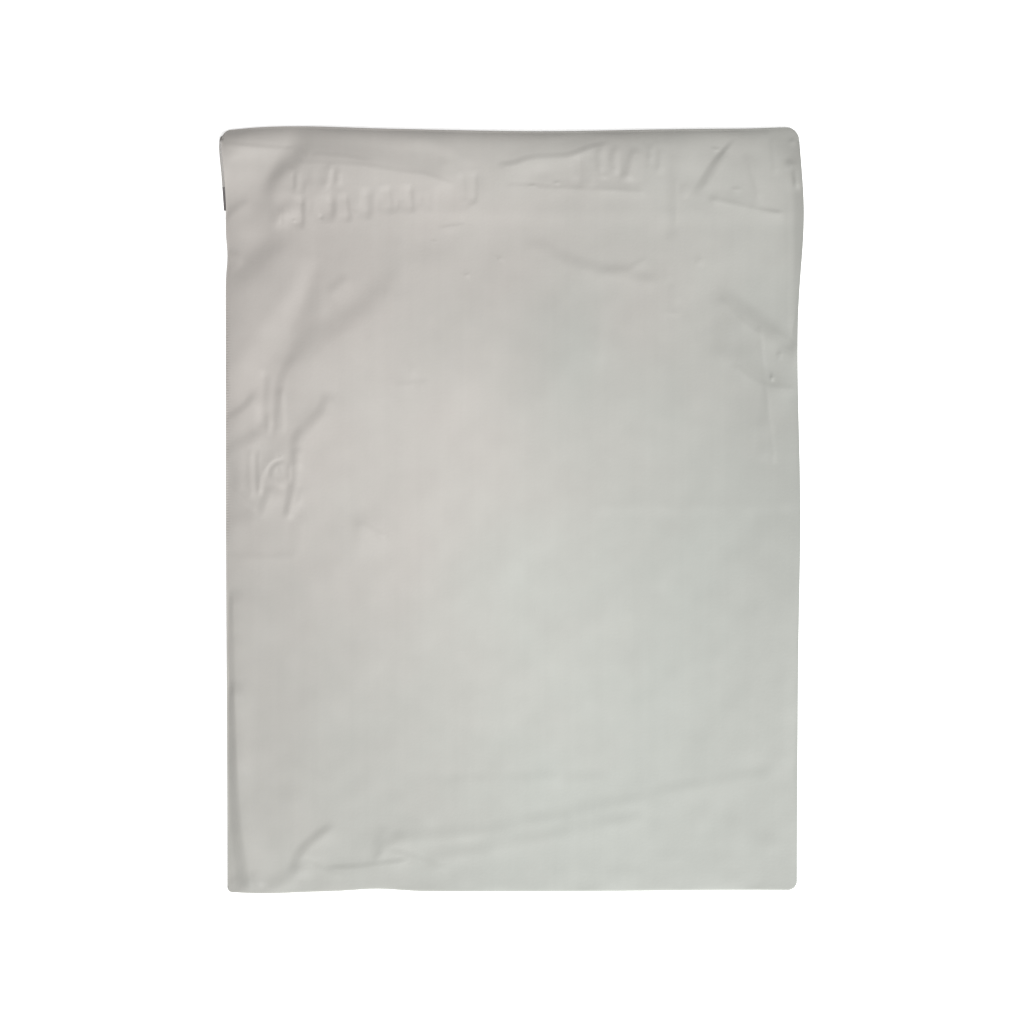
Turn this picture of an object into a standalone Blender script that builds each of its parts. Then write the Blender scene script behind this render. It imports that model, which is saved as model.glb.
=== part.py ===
"""A polythene mailing bag, sealed and lying face up.

The bag is one length of film: folded at the bottom, welded down both sides, and folded over at the top into a
flap that is glued to the underside. It is modelled closed, as one solid: a flat slab is cut and extruded into
front panel, back panel and flap, and its points are then moved onto the bag's true section.
"""

import bmesh
import bpy
import numpy as np

# The pouch, between its welds and its folds
POUCH_WIDTH = 0.300
POUCH_LENGTH = 0.400
UPPER_LEFT_RADIUS = 0.0045
UPPER_RIGHT_RADIUS = 0.0065
LOWER_RIGHT_RADIUS = 0.0050
LOWER_LEFT_RADIUS = 0.0025

# The edge of each weld and fold wanders: (distance along, half length, outward), along from the top or the left
LEFT_WANDER = ((0.005, 0.014, 0.0015), (0.066, 0.009, -0.0010), (0.400, 0.200, -0.0014))
RIGHT_WANDER = ((0.046, 0.038, 0.0034), (0.203, 0.060, 0.0018), (0.300, 0.060, 0.0004))
TOP_WANDER = ((0.039, 0.034, 0.0012), (0.165, 0.060, -0.0014), (0.296, 0.016, 0.0007))
BOTTOM_WANDER = ((0.020, 0.020, 0.0010), (0.079, 0.016, -0.0014), (0.270, 0.060, -0.0008))

# Thickness: two films pressed flat at a weld, a little trapped air between the panels, and a springy roll at the
# top fold, which rises from its nose to a crest and settles into the panel below it
WELD_THICKNESS = 0.0004
LEFT_WELD = 0.0020
RIGHT_WELD = 0.0060
AIR = 0.0018
LEFT_SWELL = 0.0050
RIGHT_SWELL = 0.0040
BOTTOM_FOLD_THICKNESS = 0.0008
BOTTOM_SWELL = 0.0060
TOP_FOLD_NOSE = 0.0022
TOP_FOLD_CREST = 0.0042
TOP_FOLD_ROUNDS = 0.0035
TOP_FOLD_SETTLES = 0.0300
FOLD_GIVES = 0.0060

# The flap, glued to the underside
FLAP_LENGTH = 0.043
FLAP_THICKNESS = 0.0004
FLAP_OVERHANG = 0.0021
PANEL_SETTLES = 0.0060

# Mesh: a coarse grid, closer at the edges, halved where the film is creased
COLUMNS = 34
ROWS = 44
EDGE_CROWDING = 0.7
CREASED_CELL = 0.0030
PUCKERED_CELL = 0.0018
FOLD_CUTS = 3
FLAT_WITHIN = 0.003

# Creases in the front. Each has a corner, a route of (in from the side, along from the end) points from that
# corner, a half width and a height, which is negative for a valley.
UPPER_LEFT, UPPER_RIGHT, LOWER_LEFT, LOWER_RIGHT = (-1, 1), (1, 1), (-1, -1), (1, -1)
CREASES = (
    # Top fold, left end: the crease below the corner and the one that runs down from it
    (UPPER_LEFT, ((0.000, 0.009), (0.012, 0.011), (0.021, 0.012), (0.032, 0.010)), 0.0030, -0.0007),
    (UPPER_LEFT, ((0.042, 0.006), (0.034, 0.014), (0.021, 0.024), (0.019, 0.048)), 0.0045, -0.0009),
    # Tension creases from the left weld below the flap
    (UPPER_LEFT, ((0.001, 0.065), (0.019, 0.061), (0.034, 0.057)), 0.0035, -0.0008),
    (UPPER_LEFT, ((0.005, 0.082), (0.020, 0.073), (0.034, 0.068)), 0.0045, -0.0007),
    (UPPER_LEFT, ((0.081, 0.082), (0.053, 0.108), (0.030, 0.134), (0.023, 0.153)), 0.0060, -0.0009),
    # Upper right corner: the sharp crease, the line over the flap's edge and the valley beside the weld
    (UPPER_RIGHT, ((0.036, 0.010), (0.044, 0.016), (0.054, 0.036)), 0.0026, 0.0009),
    (UPPER_RIGHT, ((0.045, 0.036), (0.033, 0.040), (0.022, 0.042), (0.011, 0.043)), 0.0030, -0.0007),
    (UPPER_RIGHT, ((0.015, 0.004), (0.008, 0.014), (0.003, 0.024), (0.003, 0.040)), 0.0040, -0.0008),
    (UPPER_RIGHT, ((0.067, 0.017), (0.066, 0.036), (0.064, 0.054)), 0.0035, -0.0006),
    # The broad dip on the right and its lower edge
    (UPPER_RIGHT, ((0.040, 0.089), (0.027, 0.102), (0.002, 0.110)), 0.0070, -0.0009),
    (UPPER_RIGHT, ((0.032, 0.125), (0.026, 0.128), (0.017, 0.134), (0.004, 0.136)), 0.0035, 0.0006),
    # The arc across the middle below the flap
    (UPPER_LEFT, ((0.118, 0.056), (0.150, 0.065), (0.178, 0.065), (0.205, 0.077), (0.223, 0.072)), 0.0050, -0.0006),
    # Small creases half way down the left weld
    (UPPER_LEFT, ((0.003, 0.158), (0.012, 0.148)), 0.0030, -0.0006),
    (UPPER_LEFT, ((0.012, 0.169), (0.011, 0.182), (0.016, 0.196)), 0.0025, -0.0005),
    (UPPER_LEFT, ((0.035, 0.172), (0.038, 0.180), (0.034, 0.195), (0.032, 0.202)), 0.0025, 0.0005),
    # The fold left by storing the bag in half
    (UPPER_RIGHT, ((0.000, 0.202), (0.060, 0.203), (0.105, 0.204)), 0.0030, 0.0003),
    (UPPER_LEFT, ((0.002, 0.223), (0.036, 0.224)), 0.0030, 0.0003),
    # Lower left corner and the ridge that runs from it towards the right
    (LOWER_LEFT, ((0.053, 0.032), (0.044, 0.026), (0.036, 0.016), (0.034, 0.008)), 0.0030, -0.0007),
    (LOWER_LEFT, ((0.041, 0.016), (0.062, 0.013), (0.090, 0.015), (0.113, 0.016)), 0.0035, 0.0006),
    (LOWER_LEFT, ((0.078, 0.022), (0.144, 0.027), (0.176, 0.035), (0.208, 0.046)), 0.0060, 0.0006),
    (LOWER_RIGHT, ((0.092, 0.046), (0.066, 0.055), (0.020, 0.061)), 0.0060, 0.0005),
)

# Puckers where the glue grips the film: (corner, in, along, half length, half width, height)
PUCKERS = (
    (UPPER_LEFT, 0.0350, 0.0265, 0.0045, 0.0016, 0.0005),
    (UPPER_LEFT, 0.0420, 0.0260, 0.0045, 0.0016, 0.0005),
    (UPPER_LEFT, 0.0500, 0.0255, 0.0050, 0.0017, 0.0005),
    (UPPER_LEFT, 0.0290, 0.0460, 0.0040, 0.0020, 0.0006),
    (UPPER_LEFT, 0.0380, 0.0450, 0.0045, 0.0018, 0.0006),
    (UPPER_LEFT, 0.0480, 0.0440, 0.0050, 0.0018, 0.0006),
    (UPPER_LEFT, 0.0610, 0.0420, 0.0060, 0.0018, 0.0006),
    (UPPER_LEFT, 0.0700, 0.0400, 0.0060, 0.0018, 0.0006),
    (UPPER_LEFT, 0.0785, 0.0390, 0.0060, 0.0017, 0.0006),
    (UPPER_LEFT, 0.0860, 0.0375, 0.0055, 0.0017, 0.0005),
    (UPPER_LEFT, 0.0950, 0.0370, 0.0055, 0.0017, 0.0005),
    (UPPER_LEFT, 0.1320, 0.0310, 0.0070, 0.0018, 0.0007),
    (UPPER_RIGHT, 0.1050, 0.0220, 0.0060, 0.0018, 0.0005),
    (UPPER_RIGHT, 0.0900, 0.0160, 0.0060, 0.0018, 0.0005),
    (UPPER_RIGHT, 0.0790, 0.0150, 0.0060, 0.0018, 0.0005),
    (UPPER_RIGHT, 0.0720, 0.0155, 0.0055, 0.0016, 0.0005),
)

FRONT, BACK, FLAP = 1.0, 0.0, -1.0
FILM_COLOUR = (0.552, 0.545, 0.515, 1.0)


def wander(along, bows):
    """How far an edge stands outside its straight line."""
    return sum(out * np.exp(-(((along - at) / half) ** 2)) for at, half, out in bows)


def from_corner(corner, inward, along):
    side, end = corner
    return side * (POUCH_WIDTH / 2 - inward), end * (POUCH_LENGTH / 2 - along)


def rise(distance, run):
    """0 at an edge and 1 well inside it."""
    return 1 - np.exp(-np.maximum(distance, 0) / run)


def crowded(share):
    """Moves grid lines towards both ends of a side."""
    return share - EDGE_CROWDING * np.sin(2 * np.pi * share) / (2 * np.pi)


def edge_distances(x, y):
    """How far in from the wandering left, right, top and bottom edges each point is."""
    across, down = x + POUCH_WIDTH / 2, POUCH_LENGTH / 2 - y
    left = across + wander(down, LEFT_WANDER)
    right = POUCH_WIDTH - across + wander(down, RIGHT_WANDER)
    top = down + wander(across, TOP_WANDER)
    bottom = POUCH_LENGTH - down + wander(across, BOTTOM_WANDER)
    return left, right, top, bottom


def rounded_corners(across, down):
    """Pulls a grid of (across, down) distances into four round corners."""
    for right, lower, radius in (
        (False, False, UPPER_LEFT_RADIUS),
        (True, False, UPPER_RIGHT_RADIUS),
        (True, True, LOWER_RIGHT_RADIUS),
        (False, True, LOWER_LEFT_RADIUS),
    ):
        inward = POUCH_WIDTH - across if right else across
        along = POUCH_LENGTH - down if lower else down
        s = np.clip(1 - inward / radius, 0, 1)
        t = np.clip(1 - along / radius, 0, 1)
        corner = (s > 0) & (t > 0)
        inward = np.where(corner, radius * (1 - s * np.sqrt(1 - t * t / 2)), inward)
        along = np.where(corner, radius * (1 - t * np.sqrt(1 - s * s / 2)), along)
        across = POUCH_WIDTH - inward if right else inward
        down = POUCH_LENGTH - along if lower else along
    return across, down


def onto_outline(u, v):
    """The place in the bag of a point (u, v) of the unit square, v running upwards."""
    across, down = rounded_corners(POUCH_WIDTH * crowded(u), POUCH_LENGTH * (1 - crowded(v)))
    u, v = across / POUCH_WIDTH, 1 - down / POUCH_LENGTH
    left, right = -wander(down, LEFT_WANDER), wander(down, RIGHT_WANDER)
    lower, upper = -wander(across, BOTTOM_WANDER), wander(across, TOP_WANDER)
    x = across - POUCH_WIDTH / 2 + left * (1 - u) + right * u
    y = POUCH_LENGTH / 2 - down + lower * (1 - v) + upper * v
    return x, y


def route_distance(x, y, route):
    """Distance of each point from a route, and the share of the route at the nearest place."""
    nearest = np.full(x.shape, np.inf)
    share = np.zeros(x.shape)
    pieces = list(zip(route, route[1:]))
    for i, ((ax, ay), (bx, by)) in enumerate(pieces):
        dx, dy = bx - ax, by - ay
        t = np.clip(((x - ax) * dx + (y - ay) * dy) / (dx * dx + dy * dy), 0, 1)
        distance = np.hypot(x - ax - t * dx, y - ay - t * dy)
        closer = distance < nearest
        nearest = np.where(closer, distance, nearest)
        share = np.where(closer, (i + t) / len(pieces), share)
    return nearest, share


def crease_routes():
    for corner, points, half_width, height in CREASES:
        yield [from_corner(corner, *point) for point in points], half_width, height


def creased(x, y):
    """Height that the creases and puckers add to the front."""
    added = np.zeros(x.shape)
    for route, half_width, height in crease_routes():
        distance, share = route_distance(x, y, route)
        fade = 0.35 + 0.65 * np.sin(np.pi * share)
        added += height * fade * np.exp(-((distance / half_width) ** 2))
    for corner, inward, along, half_length, half_width, height in PUCKERS:
        at_x, at_y = from_corner(corner, inward, along)
        added += height * np.exp(-(((x - at_x) / half_width) ** 2) - ((y - at_y) / half_length) ** 2)
    return added


def cell_wanted(x, y):
    """The widest mesh cell that still shows the creases at each point."""
    wanted = np.full(x.shape, np.inf)
    for route, half_width, _ in crease_routes():
        near = route_distance(x, y, route)[0] < 1.5 * half_width
        wanted = np.where(near, np.minimum(wanted, max(half_width, CREASED_CELL)), wanted)
    for corner, inward, along, half_length, half_width, _ in PUCKERS:
        at_x, at_y = from_corner(corner, inward, along)
        near = (abs(x - at_x) < 2 * half_width) & (abs(y - at_y) < 1.5 * half_length)
        wanted = np.where(near, np.minimum(wanted, PUCKERED_CELL), wanted)
    return wanted


def welded_share(left, right):
    """0 on the side welds and 1 well between them."""
    return rise(left - LEFT_WELD, LEFT_SWELL) * rise(right - RIGHT_WELD, RIGHT_SWELL)


def underside(y):
    """Height of the back panel: flat on the table, and lifted where the flap is glued under it."""
    past_flap = np.maximum(POUCH_LENGTH / 2 - FLAP_LENGTH - y, 0)
    return FLAP_THICKNESS * np.exp(-((past_flap / PANEL_SETTLES) ** 2))


def thickness(x, y):
    """Thickness of the closed bag from the back panel to the front panel."""
    left, right, top, bottom = edge_distances(x, y)
    roll = (TOP_FOLD_CREST - AIR) * np.exp(-((top / TOP_FOLD_SETTLES) ** 2))
    nose = (TOP_FOLD_NOSE - TOP_FOLD_CREST) * (1 - rise(top, TOP_FOLD_ROUNDS))
    fold = (BOTTOM_FOLD_THICKNESS - AIR) * (1 - rise(bottom, BOTTOM_SWELL))
    full = AIR + roll + nose + fold + creased(x, y) * rise(np.minimum(top, bottom), TOP_FOLD_ROUNDS)
    return WELD_THICKNESS + np.maximum(welded_share(left, right) * full, 0)


def point_arrays(verts):
    return np.array([v.co for v in verts]).T


def verts_of(geom):
    return [g for g in geom if isinstance(g, bmesh.types.BMVert)]


def back_faces(bm):
    return [f for f in bm.faces if all(v.co.z == BACK for v in f.verts)]


def halve_creased_cells(bm):
    """Subdivides the cells that are wider than the creases on them."""
    wide = list(bm.faces)
    while wide:
        faces = list(bm.faces)
        x, y, _ = np.array([f.calc_center_median() for f in faces]).T
        widths = [max(e.calc_length() for e in f.edges) for f in faces]
        wide = [f for f, width, limit in zip(faces, widths, cell_wanted(x, y)) if width > 1.5 * limit]
        edges = list({e for f in wide for e in f.edges})
        bmesh.ops.subdivide_edges(bm, edges=edges, cuts=1, use_grid_fill=True)


def slab():
    """The bag's panels and flap as a flat slab, whose heights FRONT, BACK and FLAP only name its faces."""
    bm = bmesh.new()
    bmesh.ops.create_grid(bm, x_segments=COLUMNS, y_segments=ROWS, size=0.5)
    u, v, _ = point_arrays(bm.verts)
    for vert, x, y in zip(bm.verts, *onto_outline(u + 0.5, v + 0.5)):
        vert.co = (x, y, BACK)
    halve_creased_cells(bm)

    front = bmesh.ops.extrude_face_region(bm, geom=bm.faces[:], use_keep_orig=True)["geom"]
    bmesh.ops.translate(bm, verts=verts_of(front), vec=(0, 0, FRONT - BACK))

    flap_edge = POUCH_LENGTH / 2 - FLAP_LENGTH
    back = back_faces(bm)
    around = {e for f in back for e in f.edges} | {v for f in back for v in f.verts}
    bmesh.ops.bisect_plane(
        bm, geom=back + list(around), plane_co=(0, flap_edge, 0), plane_no=(0, 1, 0), dist=1e-7
    )
    flap = [f for f in back_faces(bm) if f.calc_center_median().y > flap_edge]
    flap += list({e for f in flap for e in f.edges})
    outer = bmesh.ops.extrude_face_region(bm, geom=flap)["geom"]
    bmesh.ops.translate(bm, verts=verts_of(outer), vec=(0, 0, FLAP - BACK))
    return bm


def cut_fold_walls(bm):
    """Marks the points of the slab's upright walls at the top fold 1 and at the bottom fold -1, and divides them."""
    fold = bm.verts.layers.float.new("fold")
    straight = POUCH_LENGTH / 2 - max(UPPER_LEFT_RADIUS, UPPER_RIGHT_RADIUS, LOWER_RIGHT_RADIUS)
    upright = [
        e for e in bm.edges
        if e.verts[0].co.xy == e.verts[1].co.xy and abs(e.verts[0].co.y) > straight
    ]
    for vert in {v for e in upright for v in e.verts}:
        vert[fold] = 1 if vert.co.y > 0 else -1
    bmesh.ops.subdivide_edges(bm, edges=upright, cuts=FOLD_CUTS)


def onto_section(bm):
    """Moves the slab's points onto the bag's true section."""
    fold_mark = bm.verts.layers.float["fold"]
    fold = np.array([v[fold_mark] for v in bm.verts])
    x, y, level = point_arrays(bm.verts)
    left, right, top, bottom = edge_distances(x, y)
    panel = underside(y)
    z = np.select([level == FRONT, level == BACK], [panel + thickness(x, y), panel], 0.0)

    # Each folded end is half round, and the panels stop short of it by its radius
    share = welded_share(left, right)
    top_radius = (FLAP_THICKNESS + WELD_THICKNESS + share * TOP_FOLD_NOSE) / 2
    bottom_radius = (WELD_THICKNESS + share * BOTTOM_FOLD_THICKNESS) / 2
    top_turn = np.pi * (level - FLAP) / (FRONT - FLAP)
    bottom_turn = np.pi * (level - BACK) / (FRONT - BACK)
    y = y - top_radius * np.exp(-top / FOLD_GIVES) + bottom_radius * np.exp(-bottom / FOLD_GIVES)
    y = np.where(fold > 0, y + top_radius * np.sin(top_turn), y)
    y = np.where(fold < 0, y - bottom_radius * np.sin(bottom_turn), y)
    z = np.where(fold > 0, top_radius * (1 - np.cos(top_turn)), z)
    z = np.where(fold < 0, bottom_radius * (1 - np.cos(bottom_turn)), z)

    # The flap was folded over a little askew, so its end stands out past the left weld
    stands_out = (level == FLAP) & (left < LEFT_WELD / 2)
    x = np.where(stands_out, x - FLAP_OVERHANG * rise(top, TOP_FOLD_ROUNDS), x)
    for vert, place in zip(bm.verts, zip(x, y, z)):
        vert.co = place


def merge_flat_underside(bm):
    """The parts that lie flat need no more points than their outline."""
    bmesh.ops.recalc_face_normals(bm, faces=bm.faces[:])
    flat = [f for f in bm.faces if f.normal.z < -0.99]
    edges = [e for e in {e for f in flat for e in f.edges} if all(f.normal.z < -0.99 for f in e.link_faces)]
    verts = [v for v in {v for e in edges for v in e.verts} if all(f.normal.z < -0.99 for f in v.link_faces)]
    bmesh.ops.dissolve_limit(bm, angle_limit=FLAT_WITHIN, verts=verts, edges=edges)


def centre_on_origin(bm):
    x, y, _ = point_arrays(bm.verts)
    middle = ((x.min() + x.max()) / 2, (y.min() + y.max()) / 2)
    bmesh.ops.translate(bm, verts=bm.verts[:], vec=(-middle[0], -middle[1], 0))


def film_material():
    material = bpy.data.materials.new("white_film")
    material.use_nodes = True
    shader = material.node_tree.nodes["Principled BSDF"]
    shader.inputs["Base Color"].default_value = FILM_COLOUR
    shader.inputs["Roughness"].default_value = 0.45
    shader.inputs["Metallic"].default_value = 0.0
    return material


def mailer_bag():
    bm = slab()
    cut_fold_walls(bm)
    onto_section(bm)
    merge_flat_underside(bm)
    centre_on_origin(bm)
    mesh = bpy.data.meshes.new("mailer_bag")
    bm.to_mesh(mesh)
    bm.free()
    mesh.shade_smooth()
    mesh.set_sharp_from_angle(angle=np.radians(40))
    mesh.materials.append(film_material())
    return bpy.data.objects.new("mailer_bag", mesh)


def main():
    for obj in list(bpy.data.objects):
        bpy.data.objects.remove(obj)
    collection = bpy.data.collections.new("poly_mailer")
    bpy.context.scene.collection.children.link(collection)
    collection.objects.link(mailer_bag())


main()
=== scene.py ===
"""Looks of a sealed polythene mailing bag lying face up: its film, folds and creases, and a plain studio."""

import bmesh
import bpy
import numpy as np
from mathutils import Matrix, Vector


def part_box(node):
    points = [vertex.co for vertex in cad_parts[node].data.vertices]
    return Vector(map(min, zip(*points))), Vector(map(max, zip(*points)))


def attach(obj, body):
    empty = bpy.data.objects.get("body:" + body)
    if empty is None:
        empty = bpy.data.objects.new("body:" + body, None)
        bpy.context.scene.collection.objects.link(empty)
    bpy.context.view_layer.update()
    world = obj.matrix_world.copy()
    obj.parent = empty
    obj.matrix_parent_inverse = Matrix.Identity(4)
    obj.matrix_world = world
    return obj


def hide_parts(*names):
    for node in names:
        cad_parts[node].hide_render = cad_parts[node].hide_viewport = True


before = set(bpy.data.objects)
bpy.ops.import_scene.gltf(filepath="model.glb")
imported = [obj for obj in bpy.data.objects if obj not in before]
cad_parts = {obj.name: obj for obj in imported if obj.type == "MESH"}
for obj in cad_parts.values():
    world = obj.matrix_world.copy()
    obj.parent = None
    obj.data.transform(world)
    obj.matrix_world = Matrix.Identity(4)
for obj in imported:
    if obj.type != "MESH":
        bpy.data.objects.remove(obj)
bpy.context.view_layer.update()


# Camera
# It hangs straight above the bag with the bag's top fold towards the top of the picture, and its lens is long
# enough that the bag's edges stay as parallel as they are in the photograph.
PICTURE_WIDTH = 0.5371
PICTURE_CENTRE = (0.0004, -0.0011)
LENS = 85.0
SENSOR = 36.0

camera = bpy.data.objects.new("camera", bpy.data.cameras.new("camera"))
camera.data.lens = LENS
camera.data.sensor_width = SENSOR
camera.location = (*PICTURE_CENTRE, PICTURE_WIDTH * LENS / SENSOR)
bpy.context.scene.collection.objects.link(camera)
bpy.context.scene.camera = camera


# Bag film: outline
# One length of polythene film, folded at the bottom, welded and cut off down both sides, and folded over at
# the top. Its edges wander by a millimetre or two, and the four corners are slightly round.
POUCH_WIDTH, POUCH_LENGTH = 300.0, 400.0
CORNER_RADII = {(0, 0): 4.5, (1, 0): 6.5, (1, 1): 5.0, (0, 1): 2.5}
LEFT_WANDER = ((5, 14, 1.5), (42, 10, -0.35), (66, 9, -1.0), (100, 80, -0.4), (400, 200, -1.4))
RIGHT_WANDER = ((46, 38, 3.4), (203, 60, 1.8), (300, 60, 0.4))
TOP_WANDER = ((-2, 15, -1.15), (39, 34, 1.2), (165, 60, -1.4), (296, 16, 0.7))
BOTTOM_WANDER = ((20, 20, 1.0), (79, 16, -1.4), (270, 60, -0.8))
COLUMNS, ROWS = 116, 150
EDGE_CROWDING = 0.7
MM = 0.001


def wander(along, bows):
    """How far an edge stands outside its straight line, from (along, half length, outward) bows."""
    return sum(out * np.exp(-(((along - at) / half) ** 2)) for at, half, out in bows)


def rise(distance, run):
    """0 at an edge and 1 well inside it."""
    return 1 - np.exp(-np.maximum(distance, 0) / run)


def crowded(share):
    """Moves grid lines towards both ends of a side."""
    return share - EDGE_CROWDING * np.sin(2 * np.pi * share) / (2 * np.pi)


def rounded_corners(across, down):
    """Pulls a grid of (across, down) distances into four round corners."""
    for (right, lower), radius in CORNER_RADII.items():
        inward = POUCH_WIDTH - across if right else across
        along = POUCH_LENGTH - down if lower else down
        s = np.clip(1 - inward / radius, 0, 1)
        t = np.clip(1 - along / radius, 0, 1)
        corner = (s > 0) & (t > 0)
        inward = np.where(corner, radius * (1 - s * np.sqrt(1 - t * t / 2)), inward)
        along = np.where(corner, radius * (1 - t * np.sqrt(1 - s * s / 2)), along)
        across = POUCH_WIDTH - inward if right else inward
        down = POUCH_LENGTH - along if lower else along
    return across, down


def onto_outline(u, v):
    """Where a unit square's point lies on the bag, in millimetres across and down from its corner."""
    across, down = rounded_corners(POUCH_WIDTH * crowded(u), POUCH_LENGTH * (1 - crowded(v)))
    u, v = across / POUCH_WIDTH, down / POUCH_LENGTH
    left, right = -wander(down, LEFT_WANDER), wander(down, RIGHT_WANDER)
    upper, lower = -wander(across, TOP_WANDER), wander(across, BOTTOM_WANDER)
    return across + left * (1 - u) + right * u, down + upper * (1 - v) + lower * v


def edge_distances(across, down):
    """How far in from the wandering left, right, top and bottom edges each point is."""
    left = across + wander(down, LEFT_WANDER)
    right = POUCH_WIDTH - across + wander(down, RIGHT_WANDER)
    top = down + wander(across, TOP_WANDER)
    bottom = POUCH_LENGTH - down + wander(across, BOTTOM_WANDER)
    return left, right, top, bottom


# Creases: how they are drawn
# A crease in film is a riser, a narrow step that the film climbs and then settles from: (route, half width of
# the step, reach, height). Bulges and dents are mounds: (across, down, half width, half length, height).
# Polythene is too stiff for a step narrower than SOFTEST_STEP, and no crease is equally strong all along.
SHORTEST_FADE = 5.0
MOST_FADE = 0.45
CORNER_CUTS = 2
STEP_ENDS = 1.5
REACH_ENDS = 2.2
SOFTEST_STEP = 0.65
WEAKENS, WEAKENS_EACH = 0.25, 38.0


def smoothstep(share):
    share = np.clip(share, 0, 1)
    return share * share * (3 - 2 * share)


def smooth_route(route):
    """The route with its corners cut, so that a crease bends and doesn't kink."""
    for _ in range(CORNER_CUTS if len(route) > 2 else 0):
        cut = [route[0]]
        for (ax, ay), (bx, by) in zip(route, route[1:]):
            cut.append((0.75 * ax + 0.25 * bx, 0.75 * ay + 0.25 * by))
            cut.append((0.25 * ax + 0.75 * bx, 0.25 * ay + 0.75 * by))
        route = [*cut, route[-1]]
    return route


def along_route(across, down, route):
    """Signed distance of each point to the left of a route, how far along it the point is, and the length."""
    nearest = np.full(across.shape, np.inf)
    side = np.zeros(across.shape)
    place = np.zeros(across.shape)
    walked = 0.0
    for (ax, ay), (bx, by) in zip(route, route[1:]):
        length = np.hypot(bx - ax, by - ay)
        dx, dy = (bx - ax) / length, (by - ay) / length
        t = np.clip((across - ax) * dx + (down - ay) * dy, 0, length)
        distance = np.hypot(across - ax - t * dx, down - ay - t * dy)
        closer = distance < nearest
        nearest = np.where(closer, distance, nearest)
        side = np.where(closer, np.sign(dy * (across - ax) - dx * (down - ay)) * distance, side)
        place = np.where(closer, walked + t, place)
        walked += length
    return side, place, walked


def riser_lift(across, down, route, half_width, reach, height):
    """Height that one riser adds to the front.

    The film steps up on the left of someone who walks the route. A positive height lifts it there, and a
    negative one presses it down on the other side, as far as the reach. The half width can be a pair, for a
    step that is wider at one end. All of it is in millimetres across and down from the upper left corner.
    """
    side, place, length = along_route(across, down, route)
    if height < 0:
        side = -side
    from_end = np.minimum(place, length - place)
    ends = smoothstep(from_end / min(max(SHORTEST_FADE, reach), MOST_FADE * length))
    half_width = np.hypot(np.interp(place, (0, length), np.broadcast_to(half_width, 2)), SOFTEST_STEP)
    step = smoothstep(0.5 + side / (2 * STEP_ENDS * half_width))
    strength = 1 - WEAKENS * (0.5 + 0.5 * np.sin(2 * np.pi * place / WEAKENS_EACH + route[0][0]))
    return height * strength * ends * step * np.exp(-((np.maximum(side, 0) / reach) ** 2))


def mound(across, down, at_across, at_down, half_width, half_length, height):
    """Height of one soft mound at each point."""
    away = ((across - at_across) / half_width) ** 2 + ((down - at_down) / half_length) ** 2
    return height * np.exp(-away)


def close_to(across, down, route, margin):
    """Which points lie in the route's box, widened by a margin."""
    route_across, route_down = zip(*route)
    beside = (across > min(route_across) - margin) & (across < max(route_across) + margin)
    return beside & (down > min(route_down) - margin) & (down < max(route_down) + margin)


# Creases of the top fold, left end
# The film was folded over by hand, and steps down here in soft ridges towards the flattened corner.
TOP_LEFT_RISERS = (
    (((38, 10.5), (15, 9.2), (-3, 7.8)), 0.8, 4, 0.32),
    (((24, 28), (24.5, 37), (24, 46), (24, 62)), (3.0, 4.0), 8, 0.8),
    (((40, 36), (32, 41), (27, 46), (24, 53)), 2.4, 7, 0.95),
    (((14, 36.5), (8, 39.5), (4, 43), (-4, 49)), 2.0, 5, 0.6),
    (((128, 25), (108, 20), (88, 17), (72, 14.5), (50, 13), (34, 13)), 4.4, 18, 1.2),
    (
        ((122, 30), (113, 26.5), (105, 23.5), (95, 22.8), (88, 21.8), (75, 19.3), (60, 18.4), (38, 18)),
        0.9, 4, 0.2,
    ),
    (((78, 17.5), (66, 15), (56, 14), (44, 13.3)), 0.9, 4, 0.15),
    (((92, 8), (110, 10), (120, 14), (129, 23)), 2.4, 8, 0.35),
)
TOP_LEFT_MOUNDS = (
    (9, 52, 9, 6, 0.55),
    (4.5, 14.5, 3, 2.5, 0.2),
    (116, 19.5, 3.5, 3, 0.2),
)

# Creases of the top fold, right end
# The two layers of film slid on each other here and gathered into a sharp crease and a triangle beside it.
TOP_RIGHT_RISERS = (
    (((268, 4), (262.5, 10.5), (258, 15.5), (253, 23), (249.5, 29.5), (244.5, 37.5)), (0.7, 1.9), 14, -1.0),
    (((263, 12), (257, 21), (250, 33)), 1.0, 4, 0.25),
    (((261, 10.8), (254, 10.2)), 0.6, 2, 0.25),
    (((271, 14), (275, 24), (281, 45)), 2.2, 9, 0.28),
    (((271.5, 13), (275.5, 24), (279.4, 39)), 0.6, 3, 0.3),
    (((272, 31.8), (264.5, 31.4)), 0.8, 2, 0.3),
    (((239.6, 28), (239.8, 38)), 1.6, 3, 0.45),
    (((294, 44.2), (284, 42.8), (277, 41.3), (270, 39.8), (262, 38), (252, 36)), (0.6, 1.4), 4, 0.38),
    (((282, 39.5), (268, 36.5), (254, 34)), 2.4, 5, 0.35),
    (
        (
            (297.5, 114), (296.5, 95), (296.8, 70), (296.5, 50),
            (296.8, 36), (295.5, 26), (291, 15.5), (283, -3),
        ),
        1.4, 7, 0.35,
    ),
    (((285.3, 3), (287.6, 26)), 1.0, 4, 0.3),
    (((303, 18.6), (291, 18.4)), 1.5, 3, 0.4),
    (((293, 16), (297, 23.5), (300, 34)), 1.5, 4, 0.7),
    (((298, 19), (298.6, 33)), 1.0, 2, 0.5),
)
TOP_RIGHT_MOUNDS = (
    (297.5, 7, 1.6, 1.6, 0.35),
)

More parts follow.
